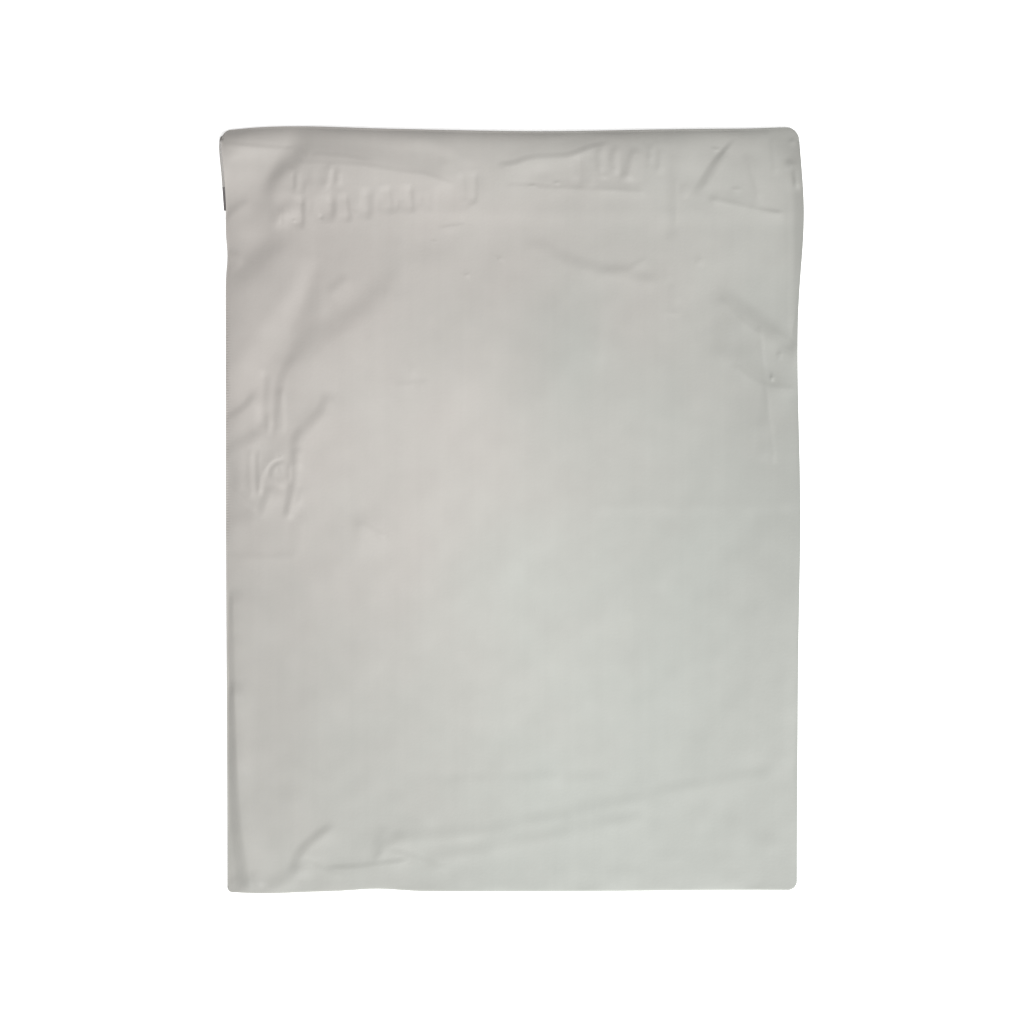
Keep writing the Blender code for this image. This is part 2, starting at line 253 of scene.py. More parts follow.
# Puckers of the glue
# A strip of hot-melt glue joins the flap to the back panel. It shrank as it set, and gathered the film above
# it into rows of short wrinkles, most of them at right angles to the flap's edge.
GLUE_RISERS = (
    (((36.8, 21), (36.8, 35)), 0.8, 3, -0.45),
    (((39, 35), (40, 20)), 0.9, 3, 0.35),
    (((42.3, 26), (41.8, 37)), 1.0, 2.5, 0.3),
    (((45, 19), (45, 34)), 1.6, 4, 0.35),
    (((50.5, 19), (50.5, 34)), 1.4, 4, 0.35),
    (((54, 34), (57, 18)), 1.1, 3, 0.55),
    (((58.5, 20), (58.5, 32)), 0.8, 2.5, 0.4),
    (((61.5, 32), (61.5, 20)), 0.8, 3, 0.2),
    (((41.2, 34), (41.2, 54)), 1.2, 6, -1.0),
    (((45.8, 36), (45.5, 47)), 0.9, 2.5, -0.25),
    (((57.3, 32), (57.3, 50.5)), 1.4, 8, -1.3),
    (((63.8, 33), (66.5, 50)), 1.2, 4, -0.9),
    (((76.8, 30), (76.3, 49)), 1.6, 6, -0.85),
    (((83.5, 29), (84.5, 41)), 1.0, 2.5, -0.25),
    (((81, 34), (81.5, 45)), 0.9, 2.5, -0.2),
    (((87, 29), (88, 37), (88.6, 46)), 1.1, 5, -0.6),
    (((92.3, 33.5), (90.8, 45.5)), 0.8, 2.5, -0.4),
    (((97.8, 28.5), (98.5, 37), (99.5, 45.5)), 1.0, 4, -0.65),
    (((103.5, 33), (103.5, 43)), 0.9, 2.5, -0.25),
    (((108, 32), (108, 45)), 1.3, 3, -0.25),
    (((113.5, 30), (113.5, 42)), 0.9, 2.5, -0.2),
    (((119.5, 27), (119, 51)), 3.2, 8, 0.35),
    (((125.3, 22.5), (125.8, 29), (127.4, 39)), 0.8, 3, -0.4),
    (((132.5, 21.5), (132.3, 32), (131.4, 41)), 1.0, 4, -0.65),
    (((131.5, 37), (128.5, 41), (124.5, 43)), 0.9, 3, 0.2),
    (((71.5, 43), (71.5, 31)), 0.9, 2.5, 0.25),
    (((30.6, 44), (30.6, 53)), 0.8, 2, -0.35),
    (((128, 50), (120, 50.5), (111, 52.5)), 0.6, 3, 0.2),
    (
        ((203, 7), (192, 9.5), (187, 11.5), (180, 14.3), (172, 14.6), (160, 15.2), (150, 19), (142, 18.5)),
        1.2, 6, 0.5,
    ),
    (((198, 6), (180, 10.5), (165, 11.5), (146, 14.5)), 3.4, 9, 0.45),
    (((222, 33.5), (205, 32), (187, 31.6), (174, 31), (160, 30), (146, 29.5)), 0.9, 4, 0.22),
    (((222, 31), (195, 30), (172, 29.3)), 1.9, 5, 0.35),
    (((186.8, 13), (186.8, 33)), 0.6, 4, -0.3),
    (((189.8, 14), (189.8, 33)), 2.2, 4, 0.45),
    (((194.3, 10), (194.6, 22), (197, 26.3), (202, 27)), 0.7, 3, 0.4),
    (((198.5, 25), (198.5, 8)), 1.3, 3, 0.45),
    (((202.5, 10), (202.8, 21)), 1.0, 2, 0.35),
    (((205.8, 26), (206, 8)), 1.2, 3, 0.45),
    (((214.5, 9), (211.5, 17), (208.5, 29)), 1.7, 5, 0.8),
    (((208, 12), (207.6, 29)), 0.6, 3, -0.25),
    (((221, 10), (221.6, 22)), 0.9, 2, -0.25),
    (((224, 20), (224.3, 7)), 1.0, 3, 0.35),
    (((227, 10), (227.3, 18), (225.3, 25)), 1.2, 4, 0.45),
    (((233.6, 8), (233.8, 30), (234.2, 60)), 2.6, 7, -0.5),
    (((237.2, 53), (237, 25)), 0.7, 2, 0.18),
)
GLUE_MOUNDS = (
    (50.5, 46.5, 1.0, 1.4, -0.3),
    (36.6, 48.5, 0.9, 0.9, 0.25),
    (161, 30.4, 1.7, 0.9, 0.2),
    (174, 29, 1.4, 1.0, 0.25),
    (166, 24, 4, 3, -0.2),
)

# Pull creases, left
# The film is pulled from the left weld towards the middle of the bag. That leaves long soft valleys across
# its upper half, and a knot of small sharp creases where they meet near the weld.
PULL_RISERS = (
    (((40, 53), (27, 60.5), (19, 68), (9, 77), (-3, 86)), (4.0, 5.6), 15, 1.55),
    (((1, 77), (6, 73), (12, 68)), 1.8, 3, 0.35),
    (((11, 67), (-2, 64)), 1.8, 4, 0.45),
    (((92, 70), (82, 83), (71, 94), (60, 101.5), (48, 109), (38, 120), (30, 133)), (3.6, 6.6), 26, 1.15),
    (((92, 70), (82, 83), (71, 94), (60, 101.5), (48, 109), (38, 120), (30, 133)), (3.6, 6.6), 14, -0.35),
    (((38, 115), (32, 125), (28.5, 134), (27.3, 145), (26, 164)), (2.4, 1.0), 9, -0.65),
    (((50, 68), (46.8, 81), (45.2, 92), (43.5, 103), (38, 113), (29, 127)), (2.8, 6.0), 15, -1.3),
    (((-2, 150), (10, 129), (22, 110), (31, 98), (38, 86), (43, 74), (47, 60)), (7.0, 3.4), 24, 1.1),
    (((66, 76), (60, 80.5), (52, 87)), 2.0, 5, 0.5),
    (((22.5, 126), (21.5, 140), (20.5, 158)), 1.6, 4, -0.5),
    (((23.4, 162), (23.4, 148)), 0.9, 2, 0.3),
    (((31.4, 161), (31.2, 135)), 1.1, 3, 0.4),
    (((17.5, 159), (18.5, 135)), 1.7, 4, 0.15),
    (((16, 137), (11, 146), (-4, 154)), 1.7, 7, 0.6),
    (((22, 157), (10, 164), (-4, 171)), 2.8, 8, 0.8),
    (((7, 168), (5.5, 179), (6, 192)), 2.6, 6, 0.6),
    (((15.5, 195), (14.3, 181), (14.6, 167)), 1.2, 3, 0.45),
    (((17.3, 168), (17.5, 193)), 1.1, 2, 0.35),
    (((19, 194), (19.8, 184), (22.5, 177.5), (27, 173.5), (33, 171.5)), 1.0, 3, 0.45),
    (((33, 175), (27, 175.5), (24, 179.5), (25, 185), (32, 189.5)), 1.2, 4, 0.65),
    (((53, 137), (51, 147), (46, 153.5), (39, 159.5), (36, 170)), (2.0, 3.0), 8, 0.75),
    (((52, 144), (43, 152), (34, 158)), 3.6, 8, 0.5),
    (((40, 156), (36.5, 163), (36, 170), (36.6, 180)), 2.0, 5, 0.5),
    (((37, 166), (36.3, 182), (34.2, 192), (31.5, 206)), (2.4, 1.4), 4, 0.85),
    (((34.8, 187), (34.4, 174)), 0.7, 2, 0.3),
    (((38.6, 203), (38.8, 186)), 0.8, 2.5, 0.12),
    (((39.5, 187), (38, 199)), 1.1, 3, 0.35),
    (((23, 186), (21, 195), (17, 205)), 1.8, 4, 0.5),
    (((3, 189), (10, 195), (18, 203)), 1.1, 3, 0.35),
    (((20, 201), (-2, 206)), 3.2, 8, 0.5),
    (((37, 200), (36, 226)), 2.6, 10, 0.4),
    (((68, 199), (69, 208), (70, 225)), 2.2, 12, 0.45),
    (((86, 214), (69, 205)), 1.1, 5, 0.25),
    (((128, 70), (105, 66), (80, 63)), 5.0, 18, 0.6),
    (((109, 132.5), (98, 133.5), (88, 134)), 1.2, 3, 0.16),
    (((99, 122), (97, 131)), 1.2, 2, 0.16),
)
PULL_MOUNDS = (
    (24, 155, 1.5, 4, 0.25),
    (27, 193, 4, 4, 0.35),
    (6, 156, 5, 4, 0.3),
)

# Pull creases, right
# The same pull on the other side. It leaves an arc across the middle, and two short valleys that run into the
# right weld.
RIGHT_PULL_RISERS = (
    (
        ((230, 79), (219, 77.8), (207, 75), (196, 73), (186, 70), (177, 66.5), (168, 62), (155, 57)),
        (2.2, 3.0), 10, 0.7,
    ),
    (((217, 72), (207, 73.6), (193, 75)), 2.0, 6, 0.35),
    (((222, 66), (217, 70), (210, 74)), 1.2, 4, 0.2),
    (
        ((312, 123), (302, 117), (293, 110.5), (285, 104.5), (276, 98), (268, 91), (259, 82)),
        (4.4, 2.6), 12, 0.6,
    ),
    (((312, 123), (302, 117), (293, 110.5), (285, 104.5), (276, 98), (264, 89)), (4.6, 4.0), 15, 0.75),
    (
        ((312, 123), (302, 117), (293, 110.5), (285, 104.5), (276, 98), (268, 91), (252, 75)),
        (4.6, 3.0), 18, -0.6,
    ),
    (((312, 122), (299, 112.5), (286, 103.5)), 1.0, 4, 0.2),
    (((283, 108.5), (274, 103), (267, 96.5), (260, 87.5)), 0.8, 4, 0.28),
    (((305, 114), (288, 116)), 2.4, 5, 0.2),
    (((293, 118), (288.5, 118)), 0.5, 1.5, 0.35),
    (((301, 135.5), (291, 135), (283, 134), (278, 131.5), (273, 128), (266, 122)), (0.8, 1.0), 5, 0.22),
    (((300, 134), (284, 131), (274, 124.5), (266, 117), (257, 107)), (3.0, 5.0), 12, 0.8),
    (((289, 176), (286, 150), (284.6, 135), (282.5, 118), (281, 102)), 0.8, 2.5, 0.25),
    (((284, 132), (281.5, 152), (280.5, 176)), 2.0, 8, 0.3),
    (((228, 98.5), (234, 97.6), (240, 99.5)), 1.1, 3, 0.2),
    (((232.8, 83), (232.8, 68)), 1.6, 3, 0.2),
    (((232, 81), (235, 87), (238, 93)), 1.6, 3, 0.25),
    (((197, 127), (200, 108), (200, 88)), 2.2, 8, 0.3),
)
RIGHT_PULL_MOUNDS = (
    (286.8, 130.8, 1.1, 1.1, 0.5),
    (249, 69.5, 1.8, 1.2, 0.35),
    (127, 77, 1.0, 1.0, 0.3),
    (144, 68.5, 0.9, 0.9, 0.3),
    (110, 59.5, 1.2, 0.8, 0.2),
)

# Storage fold
# The empty bag was kept folded in half, and the fold never quite flattened.
STORAGE_RISERS = (
    (((190, 200), (250, 200.5), (309, 199)), 2.2, 6, 0.2),
    (((40, 223), (18, 224), (-6, 223.5)), 1.6, 5, 0.2),
)

# Creases of the lower end
# At the lower left corner the side weld pulls the film down into a long dark wedge. From there short creases
# and one long double ridge run towards the right.
LOWER_RISERS = (
    (
        ((3, 240), (3.4, 285), (3.9, 312), (4.4, 340), (5.4, 360), (7, 376), (9, 390), (9.8, 404)),
        (1.0, 3.0), 10, 0.8,
    ),
    (((3.4, 288), (3.9, 312), (4.4, 340), (5.4, 360), (7, 376), (9, 390), (9.8, 404)), (1.0, 3.0), 10, 1.1),
    (((2, 400), (12, 391)), 1.4, 4, 0.2),
    (((13, 389), (19, 400)), 1.4, 4, 0.4),
    (((58, 363), (46, 372), (39.5, 378.6), (37, 384), (35, 394)), (1.6, 2.4), 7, 0.8),
    (((42, 383), (34, 391), (20, 400)), 3.2, 7, 0.6),
    (((63, 392), (52, 388), (41, 382)), 1.0, 4, 0.2),
    (((98, 382.4), (88, 383.8), (80, 385), (68, 386.6), (51, 387.2)), 1.2, 7, 0.36),
    (((119, 388.5), (110, 385), (102, 382), (92, 379), (84, 377)), 1.3, 8, 0.24),
    (((98, 368), (86, 372.5), (77, 385)), (3.6, 0.9), 8, 0.4),
    (((84, 364), (80, 376), (76, 388)), 2.8, 6, 0.35),
    (
        ((222, 350), (190, 356), (166, 361), (142, 366), (122, 368.5), (100, 370), (76, 374)),
        (3.4, 2.8), 7, 0.34,
    ),
    (((222, 358), (190, 364), (171, 369), (151, 372.6), (132, 377), (104, 381)), 3.2, 8, 0.4),
    (((290, 336), (256, 341), (234, 345), (204, 353)), 2.4, 8, 0.24),
    (((200, 339), (160, 339), (116, 340)), 2.2, 8, 0.2),
)
LOWER_MOUNDS = (
    (38, 353, 6, 5, 0.2),
    (38, 338, 7, 7, 0.15),
    (48, 381, 5, 3, 0.2),
)

RISERS = [
    (smooth_route(route), half_width, reach, height)
    for route, half_width, reach, height in (
        *TOP_LEFT_RISERS, *TOP_RIGHT_RISERS, *GLUE_RISERS, *PULL_RISERS, *RIGHT_PULL_RISERS,
        *STORAGE_RISERS, *LOWER_RISERS,
    )
]
MOUNDS = (
    *TOP_LEFT_MOUNDS, *TOP_RIGHT_MOUNDS, *GLUE_MOUNDS, *PULL_MOUNDS, *RIGHT_PULL_MOUNDS, *LOWER_MOUNDS,
)

# Unevenness
# Film that has been handled is never quite flat: faint waves of every length and direction run through it.
WAVES = 40
WAVE_LENGTHS = (9.0, 60.0)
WAVE_STEEPNESS = 0.0007
WAVE_SEED = 7


def uneven(across, down):
    """Height that the handling waves add to the front."""
    random = np.random.default_rng(WAVE_SEED)
    lift = np.zeros(across.shape)
    for _ in range(WAVES):
        length = np.exp(random.uniform(*np.log(WAVE_LENGTHS)))
        heading, start = random.uniform(0, 2 * np.pi, 2)
        travel = across * np.cos(heading) + down * np.sin(heading)
        lift += WAVE_STEEPNESS * length * np.sin(2 * np.pi * travel / length + start)
    return lift


def creased(across, down):
    """Height that all the creases together add to the front."""
    lift = uneven(across, down)
    for route, half_width, reach, height in RISERS:
        near = close_to(across, down, route, max(STEP_ENDS * np.max(half_width), REACH_ENDS * reach))
        lift[near] += riser_lift(across[near], down[near], route, half_width, reach, height)
    for place_and_height in MOUNDS:
        lift += mound(across, down, *place_and_height)
    return lift


# Bag film: section
# Two panels of polythene film with a little air between them. They are pressed flat at the side welds, the
# bottom fold is thin, and the top fold is a springy roll over the flap, which is glued to the back panel.
WELD_THICKNESS = 0.4
LEFT_WELD, LEFT_SWELL = 0.8, 8.0
RIGHT_WELD, RIGHT_SWELL = 0.8, 14.0
AIR = 1.8
BOTTOM_FOLD_THICKNESS, BOTTOM_SWELL = 1.1, 12.0
TOP_FOLD_NOSE, TOP_FOLD_CREST = 1.3, 4.2
TOP_FOLD_ROUNDS, TOP_FOLD_SETTLES = 4.2, 30.0
FOLD_GIVES = 6.0
FLAP_LENGTH, FLAP_THICKNESS = 43.0, 0.4
FLAP_OVERHANG, FLAP_RUNS_IN = 2.1, 65.0
LINING_SHOWS_FROM = 30.0
PANEL_SETTLES = 6.0
FOLD_CUTS = 6
FRONT, BACK, FLAP = 1.0, 0.0, -1.0
CREASES_FADE_AT_FOLDS, CREASES_FADE_AT_WELDS = 2.0, 1.0

# At its upper left corner the roll is creased down flat, along a line, and the weld there curls off the flap
FLAT_CORNER_LINE = smooth_route(
    ((42, -16), (41.5, 2), (40, 9), (36, 15), (30, 21.5), (24.5, 27.5), (22, 35), (22, 60))
)
FLAT_CORNER_STEP = ((0, 4.0), (24, 4.6), (34, 4.6), (48, 2.8), (64, 4.6))
FLAT_CORNER_SHARES = (0.40, 0.92)
FLAT_CORNER_FALLS = (2.0, 20.0)
FLAT_CORNER_FADES = (21.0, 53.0)
LEFT_CURL = (-4.0, 8.0, 22.0, 24.0, 4.2)
CURL_CLEARS_FOLD = 5.0

# The upper end of the right weld curls up a little as well
RIGHT_CURL = (306.0, 45.0, 8.0, 62.0, 2.2)


def flat_corner(across, down):
    """1 where the upper left corner lies flat and 0 where the film is full."""
    side, place, _ = along_route(across, down, FLAT_CORNER_LINE)
    half_width = np.interp(place, *zip(*FLAT_CORNER_STEP))
    beyond = smoothstep(0.5 - side / (2 * STEP_ENDS * half_width))
    starts, ends = FLAT_CORNER_FADES
    return beyond * smoothstep((ends - down) / (ends - starts))


def flatness(down):
    """How much of the air is gone from the flat corner, which is least at the springy top fold."""
    starts, ends = FLAT_CORNER_FALLS
    least, most = FLAT_CORNER_SHARES
    return least + (most - least) * smoothstep((down - starts) / (ends - starts))


def filled_share(across, down):
    """0 on the side welds and in the flat corner, and 1 well inside."""
    left, right, _, _ = edge_distances(across, down)
    welds = rise(left - LEFT_WELD, LEFT_SWELL) * rise(right - RIGHT_WELD, RIGHT_SWELL)
    return welds * (1 - flatness(down) * flat_corner(across, down))


def underside(across, down):
    """Height of the back panel, which the flap under it and the curls of the welds lift off the table."""
    _, _, top, _ = edge_distances(across, down)
    past_flap = np.maximum(down - FLAP_LENGTH, 0)
    on_flap = FLAP_THICKNESS * np.exp(-((past_flap / PANEL_SETTLES) ** 2))
    left_curl = mound(across, down, *LEFT_CURL) * flat_corner(across, down)
    right_curl = mound(across, down, *RIGHT_CURL)
    return on_flap + (left_curl + right_curl) * rise(top, CURL_CLEARS_FOLD)


def thickness(across, down):
    """Thickness of the closed bag from the back panel to the front panel."""
    left, right, top, bottom = edge_distances(across, down)
    roll = (TOP_FOLD_CREST - AIR) * np.exp(-((top / TOP_FOLD_SETTLES) ** 2))
    nose = (TOP_FOLD_NOSE - TOP_FOLD_CREST) * (1 - rise(top, TOP_FOLD_ROUNDS))
    fold = (BOTTOM_FOLD_THICKNESS - AIR) * (1 - rise(bottom, BOTTOM_SWELL))
    share = filled_share(across, down)
    inside_folds = rise(np.minimum(top, bottom), CREASES_FADE_AT_FOLDS)
    inside_welds = rise(np.minimum(left, right), CREASES_FADE_AT_WELDS)
    lift = creased(across, down) * (inside_folds * inside_welds)
    return WELD_THICKNESS + np.maximum(share * (AIR + roll + nose + fold) + lift, 0)


def front_height(across, down):
    return underside(across, down) + thickness(across, down)


# Bag film: uneven white and painted shade
# The white layer of the film is thicker in some places than in others, so more or less of the dark layer
# behind it shows through. Many patches are painted shade and painted light as well: they darken the right
# weld, the top and bottom edges, the upper right corner and the lower left wedge with the foot of its
# crease, and they lighten the flat upper left corner. The broadest ones make the middle of the bag lighter
# than its edges. Patches are (across, down, half width, half length, change).
TONE = 0.935
TONE_AND_PAINTED_SHADE_PATCHES = (
    (125, 195, 85, 95, 0.16),
    (175, 310, 80, 80, 0.10),
    (310, 180, 35, 100, -0.13),
    (300, 5, 14, 20, -0.11),
    (80, 402, 90, 14, -0.06),
    (300, 402, 45, 20, -0.06),
    (215, 12, 50, 16, -0.07),
    (105, 45, 35, 30, 0.06),
    (150, 48, 30, 25, 0.05),
    (240, 68, 22, 22, 0.04),
    (33, 74, 16, 18, -0.04),
    (302, 55, 5, 62, -0.13),
    (54, 8, 17, 9, -0.07),
    (10, 21, 13, 11, 0.03),
    (54, 31, 12, 9, -0.05),
    (75, 145, 35, 32, 0.045),
    (20, 80, 22, 14, -0.06),
    (6, 130, 10, 16, 0.06),
    (22, 12, 34, 12, -0.04),
    (280, 14, 25, 14, -0.06),
    (294, 9, 7, 8, -0.06),
    (292, 362, 18, 42, -0.045),
    (10, 340, 18, 55, -0.035),
    (13, 397, 9, 4.5, -0.16),
    (40, 389, 4, 4, -0.05),
    (30, 308, 14, 26, -0.03),
    (212, 160, 18, 16, 0.035),
    (168, 112, 20, 40, -0.04),
    (278, 42, 20, 14, -0.035),
    (290, 80, 10, 24, 0.03),
    (272, 116, 9, 9, -0.03),
    (284, 130, 22, 40, -0.045),
    (6, 195, 10, 20, -0.04),
    (30, 250, 14, 20, -0.03),
    (58, 190, 16, 16, 0.03),
    (132, 145, 26, 26, 0.035),
    (18, 6, 10, 3, -0.04),
)

# A thin white is also cooler. Tint is 0 where the film is warmest and 1 where it is coolest.
TINT_PATCHES = (
    (112, 172, 52, 42, -0.20),
    (40, 165, 30, 40, -0.08),
    (95, 240, 32, 40, -0.18),
    (110, 8, 150, 26, 0.15),
    (285, 250, 40, 130, -0.10),
    (182, 116, 17, 38, 0.22),
    (216, 98, 18, 24, -0.14),
    (150, 78, 22, 22, -0.14),
    (140, 240, 30, 25, 0.10),
)


def patched(across, down, patches):
    """How much all of the patches together change each point."""
    return sum(mound(across, down, *patch) for patch in patches)


# Bag film: mesh
# A flat slab is cut and extruded into front panel, back panel and flap. Its cells are halved at the creases,
# and then every point is moved onto the bag's section.
FINE_CELL = 0.75
CELL_SHARE = 0.7
CELL_SLACK = 1.5
CREASE_BAND = 2.0
CRIMPED_WIDTH = 2.0
CRIMPED_FROM, CRIMPED_TO, CRIMPS_FADE = 75.0, 235.0, 30.0


def point_arrays(verts):
    return np.array([v.co for v in verts]).T


def verts_of(geom):
    return [g for g in geom if isinstance(g, bmesh.types.BMVert)]


def level_faces(bm, level):
    return [f for f in bm.faces if all(v.co.z == level for v in f.verts)]


def cell_wanted(across, down):
    """The widest mesh cell that still shows the creases at each point."""
    wanted = np.full(across.shape, np.inf)
    for route, half_width, _, _ in RISERS:
        band = CREASE_BAND * np.max(half_width)
        near = np.flatnonzero(close_to(across, down, route, band))
        near = near[abs(along_route(across[near], down[near], route)[0]) < band]
        wanted[near] = np.minimum(wanted[near], max(CELL_SHARE * np.min(half_width), FINE_CELL))
    for at_across, at_down, half_width, half_length, _ in MOUNDS:
        near = np.hypot((across - at_across) / half_width, (down - at_down) / half_length) < CREASE_BAND
        wanted[near] = np.minimum(wanted[near], max(CELL_SHARE * half_width, FINE_CELL))
    return wanted


def halve_creased_cells(bm):
    """Subdivides the front's cells that are wider than the creases on them."""
    wide = True
    while wide:
        faces = level_faces(bm, FRONT)
        across, down, _ = np.array([f.calc_center_median() for f in faces]).T
        widths = [max(e.calc_length() for e in f.edges) for f in faces]
        limits = cell_wanted(across, down)
        wide = [f for f, width, limit in zip(faces, widths, limits) if width > CELL_SLACK * limit]
        edges = list({e for f in wide for e in f.edges})
        if edges:
            bmesh.ops.subdivide_edges(bm, edges=edges, cuts=1, use_grid_fill=True)


def slab():
    """The bag's panels and flap as a flat slab, whose heights FRONT, BACK and FLAP only name its faces."""
    bm = bmesh.new()
    bmesh.ops.create_grid(bm, x_segments=COLUMNS, y_segments=ROWS, size=0.5)
    u, v, _ = point_arrays(bm.verts)
    for vert, across, down in zip(bm.verts, *onto_outline(u + 0.5, v + 0.5)):
        vert.co = (across, down, BACK)
    front = bmesh.ops.extrude_face_region(bm, geom=bm.faces[:], use_keep_orig=True)["geom"]
    bmesh.ops.translate(bm, verts=verts_of(front), vec=(0, 0, FRONT - BACK))

    back = level_faces(bm, BACK)
    around = {e for f in back for e in f.edges} | {v for f in back for v in f.verts}
    bmesh.ops.bisect_plane(
        bm, geom=back + list(around), plane_co=(0, FLAP_LENGTH, 0), plane_no=(0, 1, 0), dist=1e-5
    )
    flap = [f for f in level_faces(bm, BACK) if f.calc_center_median().y < FLAP_LENGTH]
    flap += list({e for f in flap for e in f.edges})
    outer = bmesh.ops.extrude_face_region(bm, geom=flap)["geom"]
    bmesh.ops.translate(bm, verts=verts_of(outer), vec=(0, 0, FLAP - BACK))
    halve_creased_cells(bm)
    return bm


def cut_fold_walls(bm):
    """Marks the slab's upright walls 1 at the top fold and -1 at the bottom fold, and divides them."""
    fold = bm.verts.layers.float.new("fold")
    corner = max(CORNER_RADII.values())
    upright = [
        e for e in bm.edges
        if e.verts[0].co.xy == e.verts[1].co.xy and not corner < e.verts[0].co.y < POUCH_LENGTH - corner
    ]
    for vert in {v for e in upright for v in e.verts}:
        vert[fold] = 1 if vert.co.y < POUCH_LENGTH / 2 else -1
    bmesh.ops.subdivide_edges(bm, edges=upright, cuts=FOLD_CUTS)


def mark_patches(bm, name, base, patches):
    """Stores a patchy value with each point, for the material to read; some values carry painted shade."""
    mark = bm.verts.layers.float.new(name)
    across, down, _ = point_arrays(bm.verts)
    for vert, value in zip(bm.verts, base + patched(across, down, patches)):
        vert[mark] = value


def mark_crimps(bm):
    """Stores how strongly the left weld is crimped at every point of the slab."""
    mark = bm.verts.layers.float.new("crimps")
    across, down, _ = point_arrays(bm.verts)
    left, _, _, _ = edge_distances(across, down)
    starts = smoothstep((down - CRIMPED_FROM) / CRIMPS_FADE)
    ends = smoothstep((CRIMPED_TO - down) / CRIMPS_FADE)
    for vert, value in zip(bm.verts, starts * ends * np.exp(-((left / CRIMPED_WIDTH) ** 2))):
        vert[mark] = value


def show_lining(bm):
    """Gives the flap's left edge, except for its upper part, the second material, which is the lining."""
    bm.normal_update()
    for face in bm.faces:
        across, down, level = face.calc_center_median()
        upright = abs(face.normal.x) > 0.5
        if upright and level < BACK and across < POUCH_WIDTH / 2 and down > LINING_SHOWS_FROM:
            face.material_index = 1


def onto_section(bm):
    """Moves the slab's points onto the bag's section."""
    fold_mark = bm.verts.layers.float["fold"]
    fold = np.array([v[fold_mark] for v in bm.verts])
    across, down, level = point_arrays(bm.verts)
    left, right, top, bottom = edge_distances(across, down)
    panel = underside(across, down)
    z = np.select([level == FRONT, level == BACK], [front_height(across, down), panel], 0.0)

    # Each folded end is half round, and the panels stop short of it by its radius
    share = filled_share(across, down)
    top_radius = (FLAP_THICKNESS + WELD_THICKNESS + share * TOP_FOLD_NOSE) / 2
    bottom_radius = (WELD_THICKNESS + share * BOTTOM_FOLD_THICKNESS) / 2
    top_turn = np.pi * (level - FLAP) / (FRONT - FLAP)
    bottom_turn = np.pi * (level - BACK) / (FRONT - BACK)
    down = down + top_radius * np.exp(-top / FOLD_GIVES) - bottom_radius * np.exp(-bottom / FOLD_GIVES)
    down = np.where(fold > 0, down - top_radius * np.sin(top_turn), down)
    down = np.where(fold < 0, down + bottom_radius * np.sin(bottom_turn), down)
    z = np.where(fold > 0, top_radius * (1 - np.cos(top_turn)), z)
    z = np.where(fold < 0, bottom_radius * (1 - np.cos(bottom_turn)), z)

    # The flap was folded over a little askew, so its edge stands out past the left weld, and less towards its
    # end
    overhang = FLAP_OVERHANG * rise(top, TOP_FOLD_ROUNDS) * (1 - (down / FLAP_RUNS_IN) ** 2)
    on_flap = np.clip((BACK - level) / (BACK - FLAP), 0, 1)
    across = np.where(left < LEFT_WELD / 2, across - overhang * on_flap, across)
    for vert, place in zip(bm.verts, zip(across, down, z)):
        vert.co = place


def place_like(bm, node):
    """Turns millimetres across and down into metres, with the piece's middle over that of the CAD node."""
    bmesh.ops.scale(bm, verts=bm.verts[:], vec=(MM, -MM, MM))
    x, y, _ = point_arrays(bm.verts)
    low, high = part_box(node)
    shift_x = (low[0] + high[0] - x.min() - x.max()) / 2
    shift_y = (low[1] + high[1] - y.min() - y.max()) / 2
    bmesh.ops.translate(bm, verts=bm.verts[:], vec=(shift_x, shift_y, low[2]))


bag_bm = slab()
cut_fold_walls(bag_bm)
# Its patches of uneven white carry painted shade and painted light as well
mark_patches(bag_bm, "tone_and_painted_shade", TONE, TONE_AND_PAINTED_SHADE_PATCHES)
mark_patches(bag_bm, "tint", 0.0, TINT_PATCHES)
mark_crimps(bag_bm)
show_lining(bag_bm)
onto_section(bag_bm)
place_like(bag_bm, "mailer_bag")
bmesh.ops.recalc_face_normals(bag_bm, faces=bag_bm.faces[:])


# Bag film: material
# Co-extruded polythene: a satin white outer layer over a dark inner one. The white is a little uneven. It has
# faint streaks from the extruder along the bag, a fine grain, and a tint that drifts from warm to cool.
WARM_WHITE = (0.492, 0.462, 0.434, 1.0)
COOL_WHITE = (0.462, 0.478, 0.444, 1.0)
WHITE_ROUGHNESS = 0.5
DRIFT_DIRECTION = (0.8, -0.6, 0.0)
DRIFT_RANGE = (-0.08, 0.20)
DRIFT_PATCH_SCALE, DRIFT_PATCH_SHARE = 14.0, 0.16
MOTTLE_SCALE = 60.0
STREAK_SCALE, STREAK_SHARE = (260.0, 6.0, 1.0), 0.35
UNEVEN_RANGE, UNEVEN_SHADES = (0.4, 0.95), (0.97, 1.03)
GRAIN_SCALE, GRAIN_STRENGTH, GRAIN_HEIGHT = 900.0, 0.12, 0.0004
CRIMP_SCALE, CRIMP_DISTORTION, CRIMP_STRENGTH, CRIMP_HEIGHT = 215.0, 1.5, 0.5, 0.0002
LINING_GREY = (0.150, 0.135, 0.135)
LINING_ROUGHNESS = 0.55
LINING_MOTTLE_SCALE, LINING_SHADES = 300.0, (0.8, 1.2)
SHARP_ANGLE = 60.0


def new_material(name, roughness):
    material = bpy.data.materials.new(name)
    material.use_nodes = True
    shader = material.node_tree.nodes["Principled BSDF"]
    shader.inputs["Roughness"].default_value = roughness
    return material, material.node_tree, shader


def add_node(tree, kind, inputs=(), **settings):
    """Adds a node, sets its properties, and sets or links its inputs."""
    node = tree.nodes.new(kind)
    for name, value in settings.items():
        setattr(node, name, value)
    for name, value in dict(inputs).items():
        if isinstance(value, bpy.types.NodeSocket):
            tree.links.new(value, node.inputs[name])
        else:
            node.inputs[name].default_value = value
    return node


